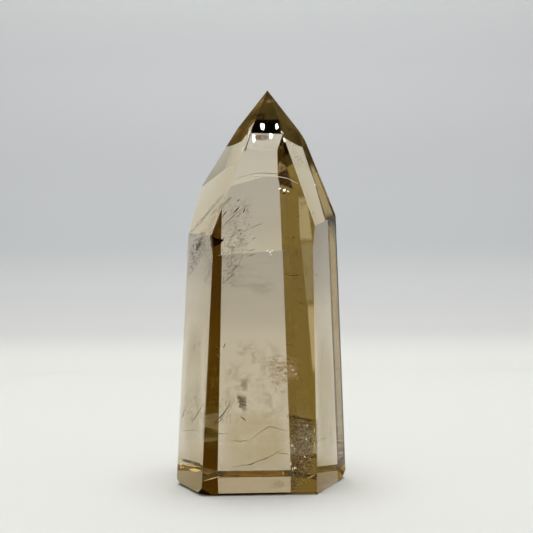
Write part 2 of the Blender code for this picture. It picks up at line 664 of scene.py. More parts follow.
def mottledMaterial(name, facts, mottle):
    # a flaw's or a cloud's material; where it glows, its own tones give off painted light
    values = {"Roughness": facts["roughness"], "Specular IOR Level": 0.0}
    material, tree, shader = newMaterial(name, values)
    place = tree.nodes.new("ShaderNodeTexCoord").outputs["Object"]
    first, second = facts["tones"]
    colour = placeGroup(tree, mottle, {
        "Place": place, "Grain": facts["mottle"], "First": (*first, 1), "Second": (*second, 1),
    })
    tree.links.new(colour, shader.inputs["Base Color"])
    if facts["glow"]:
        tree.links.new(colour, shader.inputs["Emission Color"])
        shader.inputs["Emission Strength"].default_value = facts["glow"]
    return material, tree, shader, place


def flawAndLightMaterials(mottle):
    finishes = {}
    for name, own in flawAndLightFinishes.items():
        finishes[name] = mottledMaterial(name, {**flawAndLightDefaults, **own}, mottle)[0]
    return finishes


# grains strewn over a sheet, given by its corners: how many, how far off the sheet, their length and width,
# how they lean from upright and swing round it, and how much both scatter
fleckDefaults = {"bulge": 0.0, "lean": 0.6, "swing": 0.0, "scatter": 1.6}
fleckGrowth = (0.3, 1.3)  # the smallest and the largest of its kind
flecks = {
    "veilHigh": {
        "corners": ((-9.2, -3.2, 68.1), (-1.9, -2.9, 71.5), (-3.4, -5.1, 58.1), (-9.4, -5.2, 58.1)),
        "bulge": 0.8, "count": 420, "spread": 0.9, "length": 0.48, "width": 0.07,
        "lean": 0.85, "scatter": 0.35, "finish": "darkFlaw", "seed": 3,
    },
    "veilLow": {
        "corners": ((-9.4, -5.0, 59.4), (-4.2, -4.7, 60.6), (-6.2, -5.3, 50.3), (-9.7, -5.5, 50.3)),
        "bulge": 0.6, "count": 320, "spread": 0.8, "length": 0.44, "width": 0.07,
        "lean": 0.9, "scatter": 0.4, "finish": "darkFlaw", "seed": 5,
    },
    "leftVeil": {
        "corners": ((-15.9, -0.8, 60.6), (-11.6, -7.0, 63.4), (-10.8, -9.8, 59.2), (-16.4, -0.8, 51.8)),
        "count": 320, "spread": 0.4, "length": 0.75, "width": 0.075,
        "lean": 0.85, "swing": 0.6, "scatter": 0.35, "finish": "darkFlaw", "seed": 7,
    },
    "leftBlotch": {
        "corners": ((-13.9, -3.6, 60.5), (-12.5, -5.8, 61.8), (-12.0, -6.4, 60.4), (-13.7, -3.9, 58.9)),
        "count": 110, "spread": 0.12, "length": 0.8, "width": 0.16,
        "lean": 0.8, "swing": 0.6, "scatter": 0.3, "finish": "darkFlaw", "seed": 11,
    },
    "leftLow": {
        "corners": ((-15.6, 3.2, 21.5), (-7.6, -2.8, 21.6), (-7.2, -3.2, 16.2), (-15.8, 3.2, 14.6)),
        "count": 150, "spread": 0.5, "length": 0.7, "width": 0.09,
        "lean": 0.7, "swing": 0.6, "scatter": 0.6, "finish": "brownFlawAndShade", "seed": 13,
    },
    "feather": {
        "corners": ((1.8, -13.9, 33.5), (9.1, -13.6, 32.8), (9.3, -13.7, 28.0), (3.4, -13.9, 26.4)),
        "count": 260, "spread": 0.6, "length": 0.8, "width": 0.07,
        "lean": 2.15, "scatter": 0.25, "finish": "tanFlaw", "seed": 17,
    },
    # painted glints at the feather's right end
    "featherGlints": {
        "corners": ((6.4, -14.2, 31.6), (9.2, -14.1, 31.0), (9.0, -14.2, 28.0), (6.4, -14.3, 28.6)),
        "count": 45, "spread": 0.3, "length": 0.6, "width": 0.10,
        "lean": 2.2, "scatter": 0.5, "finish": "paleGlintGrain", "seed": 19,
    },
    "featherLow": {
        "corners": ((2.2, -13.4, 27.6), (7.1, -13.3, 27.5), (6.1, -13.4, 24.1), (2.6, -13.5, 24.2)),
        "count": 110, "spread": 0.3, "length": 0.6, "width": 0.07,
        "lean": 2.3, "scatter": 0.4, "finish": "tanFlaw", "seed": 23,
    },
    "blot": {
        "corners": ((-6.0, -13.0, 23.9), (-3.9, -12.9, 23.5), (-3.8, -13.0, 20.0), (-5.0, -13.0, 20.6)),
        "count": 90, "spread": 0.5, "length": 0.55, "width": 0.16,
        "lean": 0.9, "scatter": 0.9, "finish": "darkFlaw", "seed": 29,
    },
    "blotHigh": {
        "corners": ((-5.0, -12.9, 27.5), (-3.3, -12.8, 27.5), (-3.4, -12.9, 25.0), (-4.9, -12.9, 25.2)),
        "count": 36, "spread": 0.5, "length": 0.5, "width": 0.13,
        "lean": 0.9, "scatter": 0.9, "finish": "tanFlaw", "seed": 31,
    },
    "fractureHigh": {
        "corners": ((6.7, -14.7, 18.9), (13.1, -14.5, 17.8), (13.0, -14.7, 11.5), (7.4, -14.8, 12.0)),
        "count": 1100, "spread": 0.5, "length": 0.30, "width": 0.10,
        "finish": "darkFlaw", "seed": 37,
    },
    "fractureMiddle": {
        "corners": ((7.2, -14.8, 13.0), (12.6, -14.5, 12.4), (12.3, -15.0, 5.2), (6.9, -15.0, 5.2)),
        "count": 900, "spread": 0.6, "length": 0.30, "width": 0.10,
        "finish": "darkFlaw", "seed": 38,
    },
    "fractureLow": {
        "corners": ((7.1, -15.1, 6.2), (9.6, -15.0, 6.2), (8.3, -14.6, 0.9), (7.1, -14.7, 0.9)),
        "count": 420, "spread": 0.45, "length": 0.30, "width": 0.10,
        "finish": "darkFlaw", "seed": 39,
    },
    # pale and gold grains of the fracture, whose glow is painted glints
    "fractureSilver": {
        "corners": ((7.0, -15.3, 17.6), (12.8, -15.2, 16.6), (12.6, -15.6, 5.4), (7.1, -15.7, 3.5)),
        "count": 1500, "spread": 0.45, "length": 0.24, "width": 0.085,
        "finish": "paleGlintGrain", "seed": 41,
    },
    "fractureGold": {
        "corners": ((7.0, -15.5, 15.5), (12.8, -15.2, 14.5), (12.7, -15.7, 3.4), (7.1, -15.8, 1.4)),
        "count": 620, "spread": 0.4, "length": 0.26, "width": 0.085,
        "finish": "goldGlintGrain", "seed": 43,
    },
    "fractureRim": {
        "corners": ((6.7, -15.1, 19.2), (12.7, -15.0, 17.9), (12.7, -15.0, 17.5), (6.7, -15.1, 18.7)),
        "count": 110, "spread": 0.2, "length": 0.6, "width": 0.12,
        "lean": 1.8, "scatter": 0.8, "finish": "brownFlawAndShade", "seed": 47,
    },
    "streakLine": {
        "corners": ((-15.6, 0.4, 62.9), (-7.4, -5.4, 71.9), (-7.0, -5.8, 71.2), (-15.2, 0.0, 62.2)),
        "count": 170, "spread": 0.2, "length": 0.7, "width": 0.07,
        "lean": 0.85, "swing": 0.6, "scatter": 0.3, "finish": "brownFlawAndShade", "seed": 49,
    },
    "shoulderDots": {
        "corners": ((6.6, -4.9, 88.2), (8.9, -1.0, 88.0), (10.8, -4.4, 80.3), (9.0, -8.3, 79.6)),
        "count": 50, "spread": 0.02, "length": 0.34, "width": 0.34,
        "lean": 0.0, "finish": "darkFlaw", "seed": 71,
    },
    "shoulderSmudge": {
        "corners": ((10.2, 2.2, 88.6), (10.9, 2.0, 87.2), (12.3, 0.6, 82.4), (11.3, -2.0, 81.7)),
        "count": 70, "spread": 0.12, "length": 0.4, "width": 0.12,
        "lean": 0.4, "scatter": 0.8, "finish": "brownFlawAndShade", "seed": 73,
    },
    "footCrackle": {
        "corners": ((2.3, -9.0, 2.3), (5.2, -9.0, 2.3), (5.2, -12.6, 1.2), (2.5, -12.6, 1.2)),
        "count": 90, "spread": 0.25, "length": 0.35, "width": 0.10,
        "finish": "brownFlawAndShade", "seed": 53,
    },
    "rightSpecks": {
        "corners": ((6.2, -2.0, 62.0), (11.4, -4.6, 62.0), (11.0, -5.0, 49.0), (6.4, -2.2, 49.0)),
        "count": 34, "spread": 0.4, "length": 0.35, "width": 0.14,
        "lean": 0.9, "scatter": 0.8, "finish": "darkFlaw", "seed": 59,
    },
    "rightFace": {
        "corners": ((7.0, -1.9, 22.3), (12.6, 3.0, 21.3), (12.6, 3.2, 9.6), (7.0, -1.7, 9.7)),
        "count": 60, "spread": 0.5, "length": 0.5, "width": 0.08,
        "lean": 1.2, "swing": 0.8, "scatter": 0.8, "finish": "brownFlawAndShade", "seed": 61,
    },
    "bandSpecks": {
        "corners": ((5.6, -4.0, 86.6), (8.4, -0.6, 86.6), (12.6, -4.2, 68.0), (10.6, -6.6, 68.0)),
        "count": 70, "spread": 0.3, "length": 0.22, "width": 0.10,
        "scatter": 1.4, "finish": "brownFlawAndShade", "seed": 67,
    },
}


def flecksTree():
    # small closed grains strewn over a sheet and a little way off it
    tree, start, end = newTree("strewnFlecks", (
        ("Density", "Float"), ("Seed", "Int"), ("Spread", "Float"), ("Length", "Float"),
        ("Width", "Float"), ("Turn", "Vector"), ("Scatter", "Float"),
    ))
    points = addNode(tree, "GeometryNodeDistributePointsOnFaces", {
        "Mesh": start["Geometry"], "Density": start["Density"], "Seed": start["Seed"],
    })

    def randomValue(kind, lowest, highest, step):
        inputs = {"Min": lowest, "Max": highest, "Seed": mathNode(tree, "ADD", start["Seed"], step)}
        return addNode(tree, "FunctionNodeRandomValue", inputs, data_type=kind).outputs["Value"]

    def randomShift(step, amount):
        way = randomValue("FLOAT_VECTOR", (-1, -1, -1), (1, 1, 1), step)
        return vectorNode(tree, "SCALE", {0: way, "Scale": amount})

    moved = addNode(tree, "GeometryNodeSetPosition", {
        "Geometry": points.outputs["Points"], "Offset": randomShift(1, start["Spread"]),
    })
    # a grain one across, so that its scale is its size
    grain = addNode(tree, "GeometryNodeMeshIcoSphere", {"Radius": 0.5, "Subdivisions": 1})
    growth = randomValue("FLOAT", *fleckGrowth, 2)
    wide = mathNode(tree, "MULTIPLY", start["Width"], growth)
    tall = mathNode(tree, "MULTIPLY", start["Length"], growth)
    placed = addNode(tree, "GeometryNodeInstanceOnPoints", {
        "Points": moved.outputs["Geometry"],
        "Instance": grain.outputs["Mesh"],
        "Scale": addNode(tree, "ShaderNodeCombineXYZ", {"X": wide, "Y": wide, "Z": tall}).outputs[0],
        "Rotation": vectorNode(tree, "ADD", {0: start["Turn"], 1: randomShift(3, start["Scatter"])}),
    })
    return finishTree(tree, start, end, placed.outputs["Instances"])


def strewFlecks(finishes):
    tree = flecksTree()
    for name, own in flecks.items():
        facts = {**fleckDefaults, **own}
        mesh = bpy.data.meshes.new(name)
        mesh.from_pydata(sheetPoints(facts["corners"], facts["bulge"]), [], sheetFaces())
        area = sum(face.area for face in mesh.polygons)
        bakedPiece(name, mesh, tree, {
            "Density": facts["count"] / area,
            "Seed": facts["seed"],
            "Spread": facts["spread"] * mm,
            "Length": facts["length"] * mm,
            "Width": facts["width"] * mm,
            "Turn": (0.0, facts["lean"], facts["swing"]),
            "Scatter": facts["scatter"],
        }, finishes[facts["finish"]])


# fine lines: each run is a row of places in the stone that one line follows
threadShape = {"step": 0.25, "waverGrain": 1300.0, "thinnest": 0.12, "sides": 5}
threads = {
    "needles": {"width": 0.19, "waver": 0.25, "finish": "darkFlaw", "runs": (
        ((-6.6, -5.1, 67.4), (-5.8, -4.9, 68.3), (-5.0, -4.8, 69.3)),
        ((-9.3, -5.2, 66.7), (-8.2, -5.0, 68.1)),
        ((-5.7, -3.1, 70.3), (-5.0, -3.0, 71.0)),
        ((-4.2, -3.6, 67.4), (-3.5, -3.3, 68.9)),
        ((-10.7, 2.6, 58.6), (-9.6, 1.8, 59.9), (-8.9, 1.4, 60.9)),
        ((-16.0, 2.6, 16.4), (-14.7, 1.3, 18.4)),
        ((-12.4, -0.9, 15.0), (-10.8, -2.3, 17.0), (-9.3, -3.6, 18.8), (-7.9, -4.8, 20.9)),
        ((-11.2, -0.7, 15.5), (-9.6, -2.0, 17.7)),
        ((-16.2, 2.9, 15.5), (-15.4, 1.9, 16.8)),
        ((-11.7, 1.1, 33.6), (-10.6, 0.2, 35.2)),
        ((-9.6, -0.7, 34.5), (-9.0, -1.1, 35.8)),
        ((-5.4, -6.9, 18.1), (-3.9, -6.9, 16.9)),
    )},
    "hairs": {"width": 0.11, "waver": 0.35, "finish": "brownFlawAndShade", "runs": (
        ((-2.7, -2.7, 63.3), (-1.5, -2.6, 63.8), (0.5, -2.5, 64.6)),
        ((-5.7, -4.4, 62.5), (-4.4, -4.3, 63.4)),
        ((-7.3, -4.6, 61.5), (-6.2, -4.5, 62.1)),
        ((-4.0, -3.4, 58.8), (-2.8, -3.3, 59.7)),
        ((-2.0, -3.2, 60.4), (-1.0, -3.0, 61.2)),
        ((-3.3, -3.7, 57.4), (-1.1, -3.7, 58.3)),
        ((-8.6, -5.4, 52.9), (-6.8, -5.4, 54.1), (-5.1, -5.4, 56.1)),
        ((-9.3, -5.4, 50.8), (-7.8, -5.4, 52.3), (-6.1, -5.4, 54.0)),
        ((-12.0, 5.0, 62.3), (-9.9, 4.3, 62.9), (-7.2, 3.6, 65.6), (-4.7, 2.8, 67.8), (-3.1, 2.2, 68.9)),
        ((-15.6, 3.9, 12.0), (-12.2, 0.9, 12.8), (-8.3, -2.3, 13.2)),
    )},
    "cracks": {"width": 0.12, "waver": 0.9, "finish": "brownFlawAndShade", "runs": (
        ((-2.8, -5.1, 12.1), (-1.5, -5.1, 13.1), (0.0, -5.1, 14.1), (1.2, -5.0, 14.8), (2.2, -5.0, 15.2),
         (3.5, -5.0, 14.7), (4.7, -5.0, 14.4), (6.5, -4.9, 14.0)),
        ((-7.5, -5.2, 11.9), (-5.5, -5.2, 11.6), (-3.8, -5.1, 11.7), (-2.9, -5.1, 10.9)),
        ((-7.8, -7.0, 5.2), (-5.5, -6.9, 5.7), (-3.0, -6.9, 6.0), (-2.1, -6.8, 6.4), (-0.1, -6.8, 7.1),
         (0.9, -6.8, 7.5), (2.2, -6.7, 8.1), (3.9, -6.7, 9.0), (5.4, -6.7, 9.8)),
        ((3.7, -6.7, 8.7), (5.2, -6.7, 8.6), (6.6, -6.6, 8.4)),
        ((6.2, -2.4, 10.5), (7.9, -1.0, 10.9), (9.6, 0.6, 11.1)),
        ((10.9, 1.7, 11.5), (12.3, 2.9, 12.0)),
        ((9.2, -0.3, 46.2), (10.9, 1.2, 45.1)),
        ((5.6, -3.5, 53.2), (7.3, -4.3, 52.8), (9.8, -5.4, 52.9)),
    )},
    "crackDark": {"width": 0.20, "waver": 0.4, "finish": "darkFlaw", "runs": (
        ((-3.4, -6.9, 5.9), (-2.1, -6.8, 6.3)),
        ((-0.2, -6.8, 7.0), (0.9, -6.8, 7.5), (1.6, -6.7, 7.8)),
        ((7.9, -5.6, 61.0), (8.6, -5.8, 61.5)),
        ((8.7, -6.4, 57.7), (9.0, -6.4, 58.0)),
        ((11.2, -7.3, 54.7), (11.8, -7.5, 54.4)),
        ((10.8, -6.0, 67.1), (9.3, -5.2, 66.5)),
    )},
    # painted highlight along the round shoulder's arch, and painted shade just above it
    "shoulderHighlight": {"width": 0.26, "waver": 0.03, "finish": "creamHighlight", "runs": (
        ((-8.0, -10.5, 72.6), (-7.6, -10.7, 73.7), (-7.1, -11.1, 74.7), (-5.9, -10.8, 75.7),
         (-4.7, -10.6, 76.3), (-3.5, -10.5, 76.7), (-1.5, -10.3, 77.2), (0.7, -10.2, 77.4),
         (2.9, -10.2, 77.3), (4.9, -10.2, 77.1), (6.6, -10.3, 76.8), (7.6, -10.4, 76.4), (9.6, -10.6, 75.3)),
    )},
    "shoulderShade": {"width": 0.10, "waver": 0.03, "finish": "brownFlawAndShade", "runs": (
        ((-5.9, -10.6, 76.5), (-4.7, -10.4, 77.1), (-3.5, -10.2, 77.4), (-1.5, -10.1, 77.9),
         (0.7, -10.0, 78.1), (3.0, -10.0, 78.0), (4.7, -10.0, 77.8), (6.6, -10.0, 77.6), (7.6, -10.2, 77.1),
         (9.6, -10.4, 76.0)),
    )},
    # painted light: glowing gold lines and bars at the foot, for light the stone gathers there
    "goldLightLines": {"width": 0.16, "waver": 0.15, "finish": "goldGlint", "runs": (
        ((-19.9, -6.2, 5.4), (-17.5, -10.8, 6.0), (-14.3, -16.6, 6.9)),
        ((-14.0, -17.1, 3.6), (-12.0, -17.1, 4.2), (-10.0, -17.1, 4.7)),
        ((11.0, -16.4, 3.7), (11.9, -16.3, 4.2), (12.9, -16.2, 4.6)),
    )},
    "goldLightBars": {"width": 0.60, "waver": 0.2, "finish": "goldGlint", "runs": (
        ((-17.6, -10.4, 5.0), (-16.1, -13.2, 5.4), (-14.4, -16.4, 6.0)),
    )},
    "paleHairs": {"width": 0.16, "waver": 0.4, "finish": "paleFlaw", "runs": (
        ((7.6, -7.2, 40.4), (8.2, -7.4, 40.1), (8.9, -7.7, 39.6)),
        ((6.5, -6.8, 35.1), (6.9, -6.9, 35.8), (8.0, -7.3, 36.1)),
        ((-11.1, -7.8, 35.4), (-10.4, -7.3, 34.8)),
        ((-11.0, -7.7, 33.6), (-10.3, -7.1, 32.7)),
    )},
}


def threadsTree():
    # fine closed threads along broken lines, thin at both ends and a little unsteady
    tree, start, end = newTree("fineThreads", (("Step", "Float"), ("Waver", "Float"), ("Width", "Float")))
    curve = addNode(tree, "GeometryNodeMeshToCurve", {"Mesh": start["Geometry"]})
    flowing = addNode(tree, "GeometryNodeCurveSplineType", {
        "Curve": curve.outputs["Curve"],
    }, spline_type="CATMULL_ROM")
    even = addNode(tree, "GeometryNodeResampleCurve", {
        "Curve": flowing.outputs["Curve"], "Length": start["Step"],
    }, mode="LENGTH")
    place = tree.nodes.new("GeometryNodeInputPosition").outputs[0]
    noise = addNode(tree, "ShaderNodeTexNoise", {"Vector": place, "Scale": threadShape["waverGrain"]})
    unsteady = noise.outputs
    centred = vectorNode(tree, "SUBTRACT", {0: unsteady["Color"], 1: (0.5, 0.5, 0.5)})
    moved = addNode(tree, "GeometryNodeSetPosition", {
        "Geometry": even.outputs["Curve"],
        "Offset": vectorNode(tree, "SCALE", {0: centred, "Scale": start["Waver"]}),
    })
    along = tree.nodes.new("GeometryNodeSplineParameter").outputs["Factor"]
    arch = mathNode(tree, "SINE", mathNode(tree, "MULTIPLY", along, math.pi))
    swell = mathNode(tree, "MULTIPLY", arch, unsteady["Fac"])
    ring = addNode(tree, "GeometryNodeCurvePrimitiveCircle", {
        "Resolution": threadShape["sides"], "Radius": start["Width"],
    })
    tube = addNode(tree, "GeometryNodeCurveToMesh", {
        "Curve": moved.outputs["Geometry"],
        "Profile Curve": ring.outputs["Curve"],
        "Scale": mathNode(tree, "ADD", swell, threadShape["thinnest"]),
        "Fill Caps": True,
    })
    return finishTree(tree, start, end, tube.outputs["Mesh"])


def drawThreads(finishes):
    tree = threadsTree()
    for name, facts in threads.items():
        points, edges = [], []
        for run in facts["runs"]:
            edges += [(len(points) + i, len(points) + i + 1) for i in range(len(run) - 1)]
            points += [Vector(place) * mm for place in run]
        mesh = bpy.data.meshes.new(name)
        mesh.from_pydata(points, edges, [])
        bakedPiece(name, mesh, tree, {
            "Step": threadShape["step"] * mm,
            "Waver": facts["waver"] * mm,
            "Width": facts["width"] * mm,
        }, finishes[facts["finish"]])


# a cloud's glow is painted light; some clouds below are wholly painted light, some partly painted shade
# thin clouds: sheets with a patchy see-through finish. Most is how dense the densest patch is, range says
# from what noise on a patch shows and where it is full, and edge how far in the sides fade
# tones of the smoky sheets that are also painted shade
smokeAndShadeTones = ((0.64, 0.46, 0.03), (0.46, 0.33, 0.02))
greyTones = ((0.26, 0.14, 0.06), (0.11, 0.06, 0.02))
cloudDefaults = {
    "glow": 0.0, "stretch": (1.0, 1.0, 1.0), "lean": 0.0,
    "roughness": 0.9, "mottle": 600.0, "thickness": 0.03,
}
cloudNoise = {"Detail": 5.0, "Roughness": 0.62, "Distortion": 0.6}
clouds = {
    # these three sheets: patchy smoky tone that is also painted shade, where the faces show darker
    # surroundings, with a painted glow
    "smokeAndShadeLeft": {
        "corners": ((-16.9, -1.0, 41.5), (-11.9, -10.8, 41.5), (-14.3, -13.9, 5.8), (-18.4, -2.6, 5.8)),
        "tones": smokeAndShadeTones, "glow": 0.22,
        "most": 0.22, "grain": 160.0, "range": (-0.10, 0.60), "edge": 0.5,
    },
    "smokeAndShadeRight": {
        "corners": ((11.6, -11.8, 40.5), (16.4, -1.1, 39.5), (17.8, 1.0, 4.6), (11.7, -12.8, 5.2)),
        "tones": smokeAndShadeTones, "glow": 0.25,
        "most": 0.24, "grain": 160.0, "range": (-0.10, 0.60), "edge": 0.5,
    },
    "smokeAndShadeLow": {
        "corners": ((-9.6, -12.5, 20.3), (6.8, -11.9, 20.0), (7.1, -12.2, 5.3), (-9.8, -12.8, 5.6)),
        "tones": smokeAndShadeTones, "glow": 0.42,
        "most": 0.17, "grain": 90.0, "range": (0.10, 0.60), "edge": 0.5,
    },
    "smokeMiddle": {
        "corners": ((-9.4, -8.2, 37.6), (6.2, -7.6, 37.4), (6.7, -8.0, 15.9), (-9.8, -8.6, 16.1)),
        "tones": ((0.66, 0.45, 0.22), (0.48, 0.32, 0.14)), "glow": 0.25,
        "most": 0.24, "grain": 330.0, "range": (0.44, 0.72), "edge": 0.4,
    },
    "wispHigh": {
        "corners": ((-9.3, -10.8, 57.3), (5.9, -10.3, 58.7), (5.8, -10.5, 46.9), (-9.4, -11.0, 45.6)),
        "tones": ((0.66, 0.48, 0.26), (0.48, 0.34, 0.18)), "glow": 0.25,
        "most": 0.13, "grain": 200.0, "range": (0.48, 0.70), "edge": 0.5, "stretch": (0.35, 1.0, 1.3),
        "lean": 0.35,
    },
    "veilBody": {
        "corners": ((-6.7, -4.8, 71.6), (-2.0, -6.4, 71.6), (-4.0, -10.8, 50.0), (-9.6, -11.0, 50.0)),
        "tones": greyTones, "glow": 0.4,
        "most": 0.16, "grain": 1100.0, "range": (0.48, 0.66), "edge": 0.7, "stretch": (0.5, 1.0, 0.5),
        "lean": 0.85,
    },
    "leftVeilBody": {
        "corners": ((-15.9, -0.8, 60.6), (-11.6, -7.4, 63.8), (-10.8, -10.4, 59.2), (-16.6, -0.8, 51.4)),
        "tones": greyTones, "glow": 0.4,
        "most": 0.34, "grain": 1300.0, "range": (0.44, 0.62), "edge": 0.5,
    },
    "leftCloud": {
        "corners": ((-17.2, -1.6, 24.5), (-11.6, -12.2, 24.5), (-11.9, -12.5, 14.6), (-17.6, -2.0, 13.8)),
        "tones": ((0.48, 0.30, 0.10), (0.29, 0.17, 0.05)), "glow": 0.4,
        "most": 0.26, "grain": 700.0, "range": (0.48, 0.70), "edge": 0.6,
    },
    "featherBody": {
        "corners": ((1.0, -13.9, 34.0), (9.0, -13.6, 33.4), (9.3, -13.7, 27.2), (2.6, -14.0, 25.6)),
        "tones": ((0.54, 0.40, 0.21), (0.34, 0.24, 0.12)), "glow": 0.55,
        "most": 0.62, "grain": 1000.0, "range": (0.40, 0.62), "edge": 0.8, "stretch": (0.45, 1.0, 1.6),
        "lean": -0.6,
    },
    "blotBody": {
        "corners": ((-6.4, -13.3, 24.6), (-3.4, -13.2, 24.0), (-3.6, -13.3, 19.6), (-5.0, -13.3, 20.2)),
        "tones": ((0.40, 0.27, 0.13), (0.22, 0.14, 0.07)), "glow": 0.3,
        "most": 0.62, "grain": 700.0, "range": (0.36, 0.58), "edge": 1.0,
    },
    "blotPink": {
        "corners": ((-5.2, -13.2, 28.0), (-3.0, -13.1, 28.0), (-3.2, -13.2, 24.6), (-5.0, -13.2, 24.9)),
        "tones": ((0.46, 0.30, 0.17), (0.25, 0.15, 0.08)), "glow": 0.4,
        "most": 0.40, "grain": 800.0, "range": (0.38, 0.60), "edge": 1.0,
    },
    "bandMottle": {
        "corners": ((-12.3, -14.9, 31.2), (-10.1, -15.3, 31.3), (-10.3, -15.6, 13.3), (-13.2, -15.4, 13.2)),
        "tones": ((0.40, 0.30, 0.06), (0.22, 0.15, 0.02)), "glow": 0.4,
        "most": 0.36, "grain": 420.0, "range": (0.44, 0.70), "edge": 0.3, "stretch": (1.2, 1.0, 0.7),
        "lean": 0.5,
    },
    "bandSmoke": {
        "corners": ((-13.4, -15.4, 22.0), (-10.4, -15.6, 22.0), (-10.5, -15.8, 11.0), (-13.8, -15.8, 11.0)),
        "tones": ((0.26, 0.18, 0.02), (0.13, 0.09, 0.01)), "glow": 0.4,
        "most": 0.30, "grain": 260.0, "range": (0.30, 0.52), "edge": 0.25,
    },
    # painted light: glowing tints for light seen through the faces, not for anything in the stone
    "goldLightHigh": {
        "corners": ((9.5, -11.3, 72.3), (11.8, -10.3, 72.2), (13.0, -14.2, 61.1), (9.7, -14.5, 61.0)),
        "tones": ((0.53, 0.45, 0.26), (0.46, 0.39, 0.22)), "glow": 1.0,
        "most": 0.25, "grain": 420.0, "range": (0.05, 0.50), "edge": 0.10,
    },
    "goldLightMiddle": {
        "corners": ((9.8, -14.5, 61.5), (13.0, -14.5, 61.5), (13.0, -15.2, 46.0), (11.2, -15.3, 46.0)),
        "tones": ((0.34, 0.29, 0.15), (0.28, 0.235, 0.12)), "glow": 1.0,
        "most": 0.25, "grain": 420.0, "range": (0.05, 0.50), "edge": 0.10,
    },
    "goldLightLow": {
        "corners": ((11.3, -15.3, 46.5), (13.1, -15.2, 46.5), (13.2, -15.5, 29.0), (12.6, -15.5, 29.0)),
        "tones": ((0.66, 0.54, 0.30), (0.56, 0.45, 0.24)), "glow": 1.0,
        "most": 0.25, "grain": 420.0, "range": (0.05, 0.50), "edge": 0.15,
    },
    # painted light: glowing tan tints for light seen through the faces, not for anything in the stone
    "shoulderTanLight": {
        "corners": ((12.6, -1.2, 80.9), (13.6, 0.9, 81.0), (18.6, -0.8, 67.0), (16.2, -6.1, 66.6)),
        "tones": ((0.47, 0.39, 0.22), (0.40, 0.33, 0.18)), "glow": 1.0,
        "most": 0.34, "grain": 420.0, "range": (0.05, 0.55), "edge": 0.12,
    },
    "edgeTanLight": {
        "corners": ((17.0, -4.9, 66.8), (19.0, -0.8, 66.8), (20.8, 1.0, 6.6), (19.2, -2.3, 6.6)),
        "tones": ((0.43, 0.35, 0.18), (0.37, 0.30, 0.15)), "glow": 1.0,
        "most": 0.30, "grain": 260.0, "range": (0.05, 0.55), "edge": 0.10,
    },
    "fractureBody": {
        "corners": ((7.0, -14.3, 18.8), (12.8, -14.1, 17.8), (12.5, -14.6, 4.6), (7.1, -14.6, 3.0)),
        "tones": ((0.54, 0.31, 0.09), (0.19, 0.10, 0.03)),
        "most": 0.50, "grain": 900.0, "range": (0.34, 0.60), "edge": 0.2,
    },
    "footStrip": {
        "corners": ((-20.0, -5.9, 6.9), (-14.3, -16.6, 7.8), (-14.3, -16.6, 7.0), (-20.0, -5.9, 6.0)),
        "tones": ((0.19, 0.09, 0.02), (0.10, 0.04, 0.01)),
        "most": 0.62, "grain": 300.0, "range": (0.20, 0.50), "edge": 0.3,
    },
    # painted light: a glowing warm band for light seen through the faces, not for anything in the stone
    "lowBandLight": {
        "corners": ((-10.2, -16.3, 5.9), (6.7, -16.1, 5.9), (6.8, -16.2, 4.3), (-10.3, -16.4, 4.3)),
        "tones": ((0.86, 0.46, 0.07), (0.68, 0.35, 0.05)), "glow": 0.32,
        "most": 0.25, "grain": 420.0, "range": (0.20, 0.60), "edge": 0.2, "stretch": (0.6, 1.0, 1.4),
    },
    "tipBlobRight": {
        "corners": ((-2.2, -6.3, 88.0), (3.0, -6.2, 88.0), (2.8, -6.8, 86.2), (-1.4, -6.9, 86.2)),
        "tones": ((0.66, 0.42, 0.22), (0.50, 0.30, 0.14)),
        "most": 0.55, "grain": 300.0, "range": (0.05, 0.55), "edge": 0.6,
    },
    "tipBlobLeft": {
        "corners": ((-4.2, -0.4, 90.0), (-1.9, -4.4, 89.7), (-2.2, -6.2, 87.6), (-3.7, -3.4, 87.6)),
        "tones": ((0.54, 0.26, 0.08), (0.26, 0.11, 0.03)),
        "most": 0.85, "grain": 300.0, "range": (0.25, 0.48), "edge": 0.6,
    },
    "tipShade": {
        "corners": ((-2.3, 0.0, 93.2), (1.6, -1.4, 93.8), (2.2, -3.6, 91.2), (-3.0, -1.6, 91.2)),
        "tones": ((0.24, 0.12, 0.03), (0.08, 0.04, 0.01)),
        "most": 0.85, "grain": 420.0, "range": (0.36, 0.58), "edge": 0.5, "stretch": (0.6, 1.0, 1.5),
    },
    "tipPale": {
        "corners": ((2.1, 1.6, 97.3), (3.2, 1.4, 97.4), (3.6, 0.9, 95.8), (1.4, 1.2, 95.8)),
        "tones": ((0.75, 0.65, 0.42), (0.55, 0.46, 0.28)),
        "most": 0.55, "grain": 260.0, "range": (0.25, 0.50), "edge": 0.7,
    },
}


def cloudGroup():
    # a patchy value from noise, thinned out by a fade value
    inputs = (("Place", "Vector"), ("Grain", "Float"), ("Low", "Float"), ("High", "Float"), ("Fade", "Float"))
    group, start, end = newGroup("cloudMask", inputs, (("Mask", "Float"),))
    patchy = addNode(group, "ShaderNodeTexNoise", {
        "Vector": start["Place"], "Scale": start["Grain"], **cloudNoise,
    })
    share = smoothRamp(group, patchy.outputs["Fac"], start["Low"], start["High"])
    group.links.new(mathNode(group, "MULTIPLY", share, start["Fade"]), end["Mask"])
    return group


def cloudMaterial(name, facts, mask, mottle):
    material, tree, shader, place = mottledMaterial(name, facts, mottle)
    turned = addNode(tree, "ShaderNodeMapping", {
        "Vector": place, "Rotation": (0.0, facts["lean"], 0.0), "Scale": facts["stretch"],
    })
    fade = addNode(tree, "ShaderNodeAttribute", attribute_name="fade").outputs["Fac"]
    low, high = facts["range"]
    dense = placeGroup(tree, mask, {
        "Place": turned.outputs[0], "Grain": facts["grain"], "Low": low, "High": high,
        "Fade": mathNode(tree, "MULTIPLY", fade, facts["most"]),
    })
    tree.links.new(dense, shader.inputs["Alpha"])
    return material


